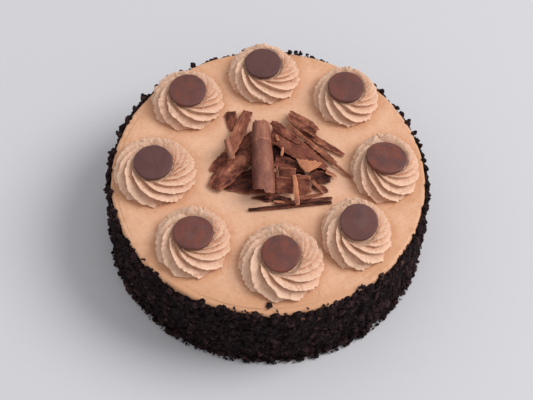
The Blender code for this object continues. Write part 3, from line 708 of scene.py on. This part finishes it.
def make_disc(number, disc, material):
    """A turned disc, a little out of round: its rows go over the top, a soft edge and in underneath."""
    columns = 120
    half, edge, radius = DISC_THICKNESS / 2, DISC_EDGE_ROUND, disc.diameter / 2
    angle = np.linspace(0, math.tau, columns, endpoint=False)
    top = np.linspace(0.4, radius - edge, 26)
    profile = [(r, half + DISC_CROWN * (1 - (r / radius) ** 2) - 0.35) for r in top]
    turn = np.linspace(0.1, 1.0, 10) * math.pi * 0.62
    rim_height = profile[-1][1] - edge
    profile += [(radius - edge + edge * math.sin(a), rim_height + edge * math.cos(a)) for a in turn]
    profile += [(radius - 0.5, -half + 0.9), (radius - 1.6, -half + 0.05)]
    profile += [(radius * 0.6, -half), (0.5, -half)]
    reach, height = (np.array(part)[:, None] for part in zip(*profile))
    uneven = fractal(ring_points(angle, 2.6, number * 2.7), 21, 3)
    reach = reach * (1 + 0.010 * uneven * smooth(reach, radius * 0.5, radius))
    x, y = reach * np.cos(angle), reach * np.sin(angle)
    dish = 0.09 * noise_over(x, y, 7, number * 1.9, 23, 3) * (height > 0)
    dimple = disc.dimple * 0.45 * np.exp(-(x**2 + (y - 0.4) ** 2) / 0.5)
    points = spread(x, y, height + dish - dimple * (height > 0))
    points, faces = closed_grid(points, (0, 0, float(points[0, :, 2].mean())), (0, 0, -half))
    points = points @ np.array(disc_turn(disc)).T + (disc.x, disc.y, CAKE_HEIGHT + disc.z)
    marks = {"rust": np.full(len(points), disc.rust), "bloom": np.full(len(points), disc.bloom)}
    made = add_piece(f"disc_{number}", points, faces, material, marks)
    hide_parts(f"chocolate_disc_{number}")


def shaving_chocolate(shavings, name, gloss, sheen):
    """Material of the shavings: streaks along the grain, flaked patches, light edges and a faint sheen."""
    made = Finish(name, specular_ior_level=sheen)
    lie = made.mark("lie", "Vector")
    streak = made.noise(1, 4, made.stretched(lie, (0.25, 0.9, 0.6)), 0.65)
    fine = made.noise(1, 4, made.stretched(lie, (1.5, 2.2, 2.0)), 0.7)
    patch = made.noise(1, 3, made.stretched(lie, (0.09, 0.16, 0.3)), 0.55)
    flake = made.noise(1, 3, made.stretched(lie, (0.34, 0.62, 0.5)), 0.6).between(0.5, 0.56)
    uneven = (streak - 0.5) * 0.4 + (fine - 0.5) * 0.45 + (patch - 0.5) * 1.3 + (flake - 0.5) * 0.16
    tone = made.mark("tone") + uneven * made.mark("rough")
    stops = ((0.05, shavings.dark), (0.35, shavings.brown), (0.62, shavings.tan), (0.95, shavings.orange))
    # The edge mark lightens the thin borders and the crack's flecks: partly paler broken chocolate, partly
    # painted highlight where the edges catch the light.
    colour = made.ramp(tone + made.mark("edge") * 0.3, stops)
    normal = made.bump((fine, 0.00036), (streak, 0.0002), (flake, 0.00014))
    return made.done(base_color=colour, roughness=gloss + 0.2 * fine, normal=normal)


def turned_to(piece, roll=0):
    """A shaving's middle, and the rotation that takes X from its start to its end and rolls it about that."""
    start, end = Vector(piece.start), Vector(piece.end)
    forward = (end - start).normalized()
    left = Vector((0, 0, 1)).cross(forward).normalized()
    upright = Matrix((forward, left, forward.cross(left))).transposed()
    turn = upright @ Matrix.Rotation(math.radians(roll), 3, "X")
    return np.array(turn), np.array((start + end) / 2) + (0, 0, CAKE_HEIGHT)


def widths_along(widths, along):
    """The curve through the three widths of a shaving."""
    first, middle, last = widths
    ends = first * (1 - along) * (1 - 2 * along) + last * along * (2 * along - 1)
    return ends + middle * 4 * along * (1 - along)


def finish_sheet(piece, upper, lower, lie, edge, tone, rough, material, roll):
    """Turns a two-sided sheet into place and marks it for its material."""
    points, faces = two_sided(upper, lower)
    turn, middle = turned_to(piece, roll)
    points = points @ turn.T + middle
    lie = lie.reshape(-1, 3)
    marks = {"lie": np.concatenate([lie, lie + (3.0, 40.0, 9.0)]), "rough": np.full(len(points), rough)}
    marks.update(edge=np.tile(edge.ravel(), 2), tone=np.tile(tone.ravel(), 2))
    made = add_piece(f"shaved_{piece.name}", points, faces, material, marks)
    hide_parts(piece.name)


def make_shard(number, piece, material):
    """A flake on a grid of length by width.

    Its outline is the three widths' curve, torn by noise at the sides and more at the ends. Its faces are
    half the thickness either side of a bowed middle, ridged along the grain, and meet thinly at the border.
    """
    length = math.dist(piece.start, piece.end)
    rows = int(max(24, length / 0.42))
    columns = int(max(12, max(piece.widths) / 0.34))
    along = np.linspace(0, 1, rows)[:, None]
    across = np.linspace(-1, 1, columns)[None, :]
    half = widths_along(piece.widths, along) / 2
    first, last = piece.slants
    slant = first * np.maximum(0, 1 - 2 * along) + last * np.maximum(0, 2 * along - 1)
    x = length * (along - 0.5) + slant * across
    y = half * across
    seed = 200 + 7 * number
    side = fractal(spread(x / 4.5, np.sign(across) * 9, 0.5), seed, 4)
    nick = fractal(spread(x / 1.9, np.sign(across) * 9, 4.5), seed + 4, 2)
    torn = piece.tear * (0.45 * side + 0.5 * nick)
    y = y * (1 + 0.05 * side) + torn * np.abs(across) ** 6 * np.sign(across)
    ends = np.sign(along - 0.5) * np.abs(2 * along - 1) ** 8
    ragged = fractal(spread(y / 2.2, np.sign(along - 0.5) * 7, 0.5), seed + 1, 4)
    x = x + 1.3 * piece.tear * ragged * ends
    grain = fractal(spread(x / 8, y / 1.6 + 0.25 * np.sin(x / 3), number * 1.7), seed + 2, 3)
    coarse = fractal(spread(x / 9, y / 5, number * 2.3), seed + 3, 3)
    inner = (1 - np.abs(across)) * half
    outer = np.minimum(inner, (0.5 - np.abs(along - 0.5)) * length)
    thin = 0.35 + 0.65 * smooth(outer, 0, 0.9)
    middle = -piece.bow * half / 2 * across**2 + 0.25 * piece.tear * coarse
    upper = middle + piece.thickness / 2 * thin + 0.75 * piece.grain * grain
    lower = middle - piece.thickness / 2 * thin + 0.5 * piece.grain * coarse * thin
    faces = (spread(x, y, upper), spread(x, y, lower))
    # The second mark lightens the border, partly as a painted highlight.
    marks = (spread(x, y, number * 11.0), 1 - smooth(outer, 0.1, 0.8), piece.tone + 0.12 * coarse)
    finish_sheet(piece, *faces, *marks, 0.4 + 1.7 * piece.grain, material, piece.roll)


def make_curl(number, piece, material):
    """A rolled sheet on a grid of length by angle.

    The angle goes round from the slit, the radius swells and shrinks a little, and noise tears the ends. A
    notch cuts the front end back on the right side, and a crack runs round near the back.
    """
    length = math.dist(piece.start, piece.end)
    rows = int(length / 0.4)
    columns = int(math.radians(piece.turn) * piece.radius / 0.38)
    along = np.linspace(0, 1, rows)[:, None]
    round_by = piece.turn * np.linspace(0, 1, columns)[None, :]
    angle = np.radians(piece.open_at + (360 - piece.turn) / 2 + round_by)
    seed = 400 + 9 * number
    x = length * (along - 0.5) + 0 * angle
    ragged = fractal(ring_points(angle, piece.radius / 3, 0), seed, 4)
    front, back = smooth(along, 0.55, 1.0), 1 - smooth(along, 0.0, 0.3)
    x = x + piece.tear * ragged * front - piece.tear * 1.4 * np.roll(ragged, 9, axis=1) * back
    x = x - piece.notch * front * (1 - smooth(np.cos(angle), -0.12, 0.1))
    x = x - CUT_BACK * piece.radius * (1 - np.sin(angle)) * front**2
    swell = 0.22 * fractal(spread(x / 13, np.cos(angle) * 1.3, np.sin(angle) * 1.3), seed + 1, 2)
    grain = 0.10 * fractal(spread(x / 16, angle * piece.radius / 1.5, 0.5), seed + 2, 3)
    crack_at = -length * 0.23 + 1.1 * fractal(ring_points(angle, 3, 0.7), seed + 3, 3)
    crack = np.exp(-(((x - crack_at) / 0.9) ** 2)) * (piece.radius > 5)
    flecks = crack * smooth(fractal(spread(x / 0.9, angle * 7, 0.5), seed + 4, 2), -0.3, 0.5)
    outer = piece.radius * (1 - NARROWING * (1 - along) ** 3) + swell + grain - 0.3 * crack + 0.35 * flecks
    ends = (0.5 - np.abs(along - 0.5)) * length
    sides = np.radians(np.minimum(round_by, piece.turn - round_by)) * piece.radius
    border = np.minimum(ends, sides)
    wall = piece.thickness * (0.4 + 0.6 * smooth(border, 0, 1.2))
    # The edge lightens the border, partly as a painted highlight, and the crack's flecks.
    edge = np.maximum(1 - smooth(border, 0.1, 0.9), 1.3 * flecks)
    # Painted shade: the curl is made darker on the side turned away from the light.
    tone = piece.tone + 0.10 * (x < crack_at) - 0.26 * smooth(-np.cos(angle), 0.2, 0.95)
    tone = tone + 0.10 * fractal(spread(x / 12, angle * 1.2, 0.5), seed + 5, 3)
    lie = spread(x, angle * piece.radius, number * 13.0)
    ring = [spread(x, r * np.cos(angle), r * np.sin(angle))[:, ::-1] for r in (outer, outer - wall)]
    marks = [part[:, ::-1] for part in (lie, edge, tone)]
    finish_sheet(piece, *ring, *marks, 0.45, material, 0)


def crumb_shape(columns, rings):
    """A ball's points and faces on a coarse grid of rings between two poles."""
    tall = np.linspace(0, math.pi, rings + 2)[1:-1, None]
    turn = np.linspace(0, math.tau, columns, endpoint=False)[None, :] + 0.5 * tall
    grid = spread(np.sin(tall) * np.cos(turn), np.sin(tall) * np.sin(turn), -np.cos(tall))
    return closed_grid(grid, (0, 0, -1), (0, 0, 1))


def random_turns(rng, count):
    """Random rotation matrices, from unit quaternions."""
    spin = rng.normal(size=(count, 4))
    w, x, y, z = (spin / np.linalg.norm(spin, axis=1, keepdims=True)).T
    rows = (
        (1 - 2 * (y * y + z * z), 2 * (x * y - z * w), 2 * (x * z + y * w)),
        (2 * (x * y + z * w), 1 - 2 * (x * x + z * z), 2 * (y * z - x * w)),
        (2 * (x * z - y * w), 2 * (y * z + x * w), 1 - 2 * (x * x + y * y)),
    )
    return np.stack([np.stack(row, axis=-1) for row in rows], axis=1)


def make_crumbs(name, rng, centres, sizes, material, form, squash=(0.6, 1.1), jitter=(0.72, 1.2)):
    """Crumbs joined into one mesh: coarse balls with their corners pushed in or out, stretched and turned."""
    base, faces = crumb_shape(*form)
    count, corners = len(centres), len(base)
    turns = random_turns(rng, count)
    stretch = rng.uniform(*squash, size=(count, 1, 3))
    push = rng.uniform(*jitter, size=(count, corners, 1))
    points = base[None] * push * stretch * sizes[:, None, None] / 2
    points = np.einsum("nij,nkj->nki", turns, points) + centres[:, None, :]
    offsets = (np.arange(count) * corners)[:, None, None]
    faces = [(each[None] + offsets).reshape(-1, each.shape[1]) for each in faces]
    marks = {"shade": np.repeat(rng.uniform(0, 1, count) ** 2, corners)}
    add_piece(name, points.reshape(-1, 3), faces, material, marks, smooth_faces=False)


def crumb_chocolate(crumbs):
    """Material of the crumbs: near black, each with its own shade, and now and then a light one."""
    made = Finish("cake_crumb", roughness=0.7, specular_ior_level=0.1)
    shade = made.mark("shade")
    pores = made.noise(1500, 4, rough=0.7)
    grains = made.noise(700, 3).between(0.35, 0.75)
    colour = made.mix(shade * 0.75 + grains * pores * 0.9, tint(crumbs.colour, 0.1), crumbs.brown)
    colour = made.mix(shade.between(0.93, 1.0), colour, crumbs.light)
    normal = made.bump((pores, 0.0004))
    return made.done(base_color=colour, normal=normal)


def coat_radius(angle, height):
    """Radius of the coat under its loose crumbs: lumps of two sizes outside the cream, and a flared foot."""
    where = ring_points(angle, 120, height)
    lumps = 1.5 * fractal(where / 7.5, 31, 2) + 0.7 * fractal(where / 3.0, 33, 2)
    return np.maximum(COAT_RADIUS + lumps, CAKE_RADIUS + 0.45) + 1.6 * np.exp(-height / 3.5)


def coat_top(angle):
    """Height of the coat's ragged upper edge."""
    around = ring_points(angle, 120, 0)
    front = 0.5 - 0.5 * np.sin(angle)
    return COAT_TOP + 1.8 * front + 2.0 * fractal(around / 9, 35, 2) + 1.6 * fractal(around / 4.0, 37, 2)


def make_bed(material):
    """The dark bed that the crumbs are pressed in."""
    columns, rows = 460, 60
    angle = np.linspace(0, math.tau, columns, endpoint=False)[None, :]
    height = 0.5 + (coat_top(angle) - 1.6) * np.linspace(0, 1, rows)[:, None]
    outer = ring_points(angle, coat_radius(angle, height), height)
    top = ring_points(angle, CAKE_RADIUS - 0.4, height[-1:])
    foot = ring_points(angle, CAKE_RADIUS - 0.4, height[:1])
    grid = np.concatenate([outer, top, foot])
    faces = [quads(rows + 2, columns, wrap_rows=True)]
    points = grid.reshape(-1, 3)
    # Shade 0 makes the bed the darkest of the crumbs: the dark coat, with painted shade in the gaps between
    # the crumbs.
    marks = {"shade": np.zeros(len(points))}
    bed = add_piece("crumb_bed", points, faces, material, marks)
    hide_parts("crumb_coat")


def make_clumps(rng, material):
    """Clumps that stick out beyond the rim."""
    centres, sizes = [], []
    for degrees, reach, count, size in RIM_CLUMPS:
        middle = ring_points(math.radians(degrees), CAKE_RADIUS + 1.0, CAKE_HEIGHT - 1.4)
        centres.append(middle + rng.normal(0, reach * 0.34, size=(count, 3)))
        sizes.append(size * rng.uniform(0.6, 1.2, count))
    centres, sizes = np.concatenate(centres), np.concatenate(sizes)
    make_crumbs("crumb_clumps", rng, centres, sizes, material, (8, 5), **ROUND_CRUMB)


def make_loose_crumbs(rng, crumbs, material):
    """Single crumbs all over the coat, its rim and its foot, joined into three pieces by size."""
    for name, count, low, high, form, stand in (
        ("crumbs_large", crumbs.large, 3.0, 7.2, (7, 4), 1.0),
        ("crumbs_medium", crumbs.medium, 1.5, 2.9, (5, 3), 0.5),
        ("crumbs_small", crumbs.small, 0.8, 1.6, (5, 2), 0.8),
    ):
        sizes = low + (high - low) * rng.uniform(0, 1, count) ** 1.6
        angle = rng.uniform(0, math.tau, count)
        top = coat_top(angle)
        height = rng.uniform(0, 1, count) * (top - sizes / 2)
        radius = coat_radius(angle, height) + stand * rng.uniform(-0.6, 1.1, count)
        rim = rng.uniform(0, 1, count) < SHARE_AT_RIM
        radius = np.where(rim, rng.uniform(*RIM_BAND, count), radius)
        height = np.where(rim, top + rng.uniform(-1.8, 0.6, count) - 0.9 * (radius - 117.5), height)
        foot = rng.uniform(0, 1, count) < SHARE_AT_FOOT
        radius = np.where(foot, rng.uniform(*FOOT_BAND, count) - 0.2 * sizes, radius)
        height = np.where(foot, sizes * rng.uniform(0.45, 1.2, count), height)
        height = np.maximum(height, sizes * 0.62 + 0.1)
        make_crumbs(name, rng, ring_points(angle, radius, height), sizes, material, form)


def make_stray_crumbs(material):
    """Small clumps on the cream, each a few crumbs round one place."""
    rng = np.random.default_rng(8)
    centres, sizes = [], []
    for x, y, reach, count, size in STRAY_CRUMBS:
        each = size * rng.uniform(0.6, 1.1, count)
        away = rng.normal(0, reach * 0.5, size=(count, 2))
        pile = np.maximum(0, reach - np.hypot(*away.T)) * rng.uniform(0, 0.8, count)
        centres.append(np.stack([x + away[:, 0], y + away[:, 1], CAKE_HEIGHT + 0.25 * each + pile], axis=-1))
        sizes.append(each)
    centres, sizes = np.concatenate(centres), np.concatenate(sizes)
    make_crumbs("crumbs_on_cream", rng, centres, sizes, material, (8, 5), **ROUND_CRUMB)


def make_floor(stage):
    """A flat sheet under the cake with a faint grain."""
    made = Finish("pale_floor", roughness=0.6)
    grain = made.noise(900, 2)
    colour = made.mix(grain * 0.15, stage.floor, tint(stage.floor, 0.96))
    reach, low = 3.0, -0.05 * MM
    corners = [(-reach, -reach, low), (reach, -reach, low), (reach, reach, low), (-reach, reach, low)]
    mesh = bpy.data.meshes.new("floor")
    mesh.from_pydata(corners, [], [(0, 1, 2, 3)])
    mesh.materials.append(made.done(base_color=colour))
    floor = add_object("floor", mesh)


def aim(thing, eye, target, roll=0.0):
    """Stands a camera or a light at eye and turns it to look at target."""
    turn = (Vector(target) - Vector(eye)).to_track_quat("-Z", "Y").to_matrix().to_4x4()
    thing.matrix_world = Matrix.Translation(eye) @ turn @ Matrix.Rotation(roll, 4, "Z")


def make_camera():
    data = bpy.data.cameras.new("camera")
    data.sensor_width = CAMERA_SENSOR
    data.lens = CAMERA_LENS
    data.clip_start, data.clip_end = 0.01, 20
    camera = add_object("camera", data)
    aim(camera, CAMERA_EYE, CAMERA_AIM, CAMERA_ROLL)
    bpy.context.scene.camera = camera


def make_light(stage):
    data = bpy.data.lights.new("key_light", "AREA")
    data.shape, data.size, data.energy = "DISK", LIGHT_SIZE, stage.key
    aim(add_object("key_light", data), LIGHT_EYE, (0, 0, 0.05))


def make_sky(stage):
    world = bpy.data.worlds.new("sky")
    world.use_nodes = True
    back = world.node_tree.nodes["Background"]
    back.inputs["Color"].default_value = (0.97, 0.98, 1.0, 1)
    back.inputs["Strength"].default_value = stage.sky
    bpy.context.scene.world = world
    bpy.context.scene.view_settings.view_transform = "Standard"


class TORTE_OT_cream(bpy.types.Operator):
    """Spread the cream over the cake"""

    bl_idname = "torte.cream"
    bl_label = "Spread Cream"

    def execute(self, context):
        make_spread_cream(context.scene.torte_cream)
        return {"FINISHED"}


class TORTE_OT_rosettes(bpy.types.Operator):
    """Pipe the eight rosettes"""

    bl_idname = "torte.rosettes"
    bl_label = "Pipe Rosettes"

    def execute(self, context):
        rosettes = context.scene.torte_rosettes
        material = piped_cream(rosettes, context.scene.torte_cream)
        for number, (piece, disc) in enumerate(zip(ROSETTES, DISCS), start=1):
            make_rosette(number, piece, disc, rosettes, material)
        return {"FINISHED"}


class TORTE_OT_discs(bpy.types.Operator):
    """Lay a chocolate disc on each rosette"""

    bl_idname = "torte.discs"
    bl_label = "Lay Discs"

    def execute(self, context):
        material = disc_chocolate(context.scene.torte_discs)
        for number, disc in enumerate(DISCS, start=1):
            make_disc(number, disc, material)
        return {"FINISHED"}


class TORTE_OT_shavings(bpy.types.Operator):
    """Heap up the flat and the rolled shavings"""

    bl_idname = "torte.shavings"
    bl_label = "Heap Shavings"

    def execute(self, context):
        shavings = context.scene.torte_shavings
        rough = shaving_chocolate(shavings, "flaked_chocolate", 0.46, 0.16)
        for number, piece in enumerate(SHARDS, start=1):
            make_shard(number, piece, rough)
        sleek = shaving_chocolate(shavings, "rolled_chocolate", 0.27, 0.5)
        for number, piece in enumerate(CURLS, start=1):
            make_curl(number, piece, sleek)
        return {"FINISHED"}


class TORTE_OT_crumbs(bpy.types.Operator):
    """Press the crumbs on the side"""

    bl_idname = "torte.crumbs"
    bl_label = "Press Crumbs"

    def execute(self, context):
        crumbs = context.scene.torte_crumbs
        material = crumb_chocolate(crumbs)
        rng = np.random.default_rng(5)
        make_bed(material)
        make_clumps(rng, material)
        make_loose_crumbs(rng, crumbs, material)
        make_stray_crumbs(material)
        return {"FINISHED"}


class TORTE_OT_stage(bpy.types.Operator):
    """Make the floor, the light and the camera"""

    bl_idname = "torte.stage"
    bl_label = "Set Stage"

    def execute(self, context):
        stage = context.scene.torte_stage
        make_floor(stage)
        make_camera()
        make_light(stage)
        make_sky(stage)
        return {"FINISHED"}


# Each layer of the torte: its settings' name on the scene, their class and its operator.
LAYERS = [
    ("torte_cream", CreamSettings, TORTE_OT_cream),
    ("torte_rosettes", RosetteSettings, TORTE_OT_rosettes),
    ("torte_discs", DiscSettings, TORTE_OT_discs),
    ("torte_shavings", ShavingSettings, TORTE_OT_shavings),
    ("torte_crumbs", CrumbSettings, TORTE_OT_crumbs),
    ("torte_stage", StageSettings, TORTE_OT_stage),
]


class TORTE_PT_panel(bpy.types.Panel):
    """The settings and the buttons that make the torte"""

    bl_label = "Cream Torte"
    bl_idname = "TORTE_PT_panel"
    bl_space_type = "VIEW_3D"
    bl_region_type = "UI"
    bl_category = "Torte"

    def draw(self, context):
        for key, group, operator in LAYERS:
            box = self.layout.box()
            for name in group.__annotations__:
                box.prop(getattr(context.scene, key), name)
            box.operator(operator.bl_idname)


def register():
    for key, group, operator in LAYERS:
        bpy.utils.register_class(group)
        bpy.utils.register_class(operator)
        setattr(bpy.types.Scene, key, PointerProperty(type=group))
    bpy.utils.register_class(TORTE_PT_panel)


def unregister():
    bpy.utils.unregister_class(TORTE_PT_panel)
    for key, group, operator in LAYERS:
        delattr(bpy.types.Scene, key)
        bpy.utils.unregister_class(operator)
        bpy.utils.unregister_class(group)


def main():
    register()
    bpy.ops.torte.cream()
    bpy.ops.torte.rosettes()
    bpy.ops.torte.discs()
    bpy.ops.torte.shavings()
    bpy.ops.torte.crumbs()
    bpy.ops.torte.stage()


if __name__ == "__main__":
    main()
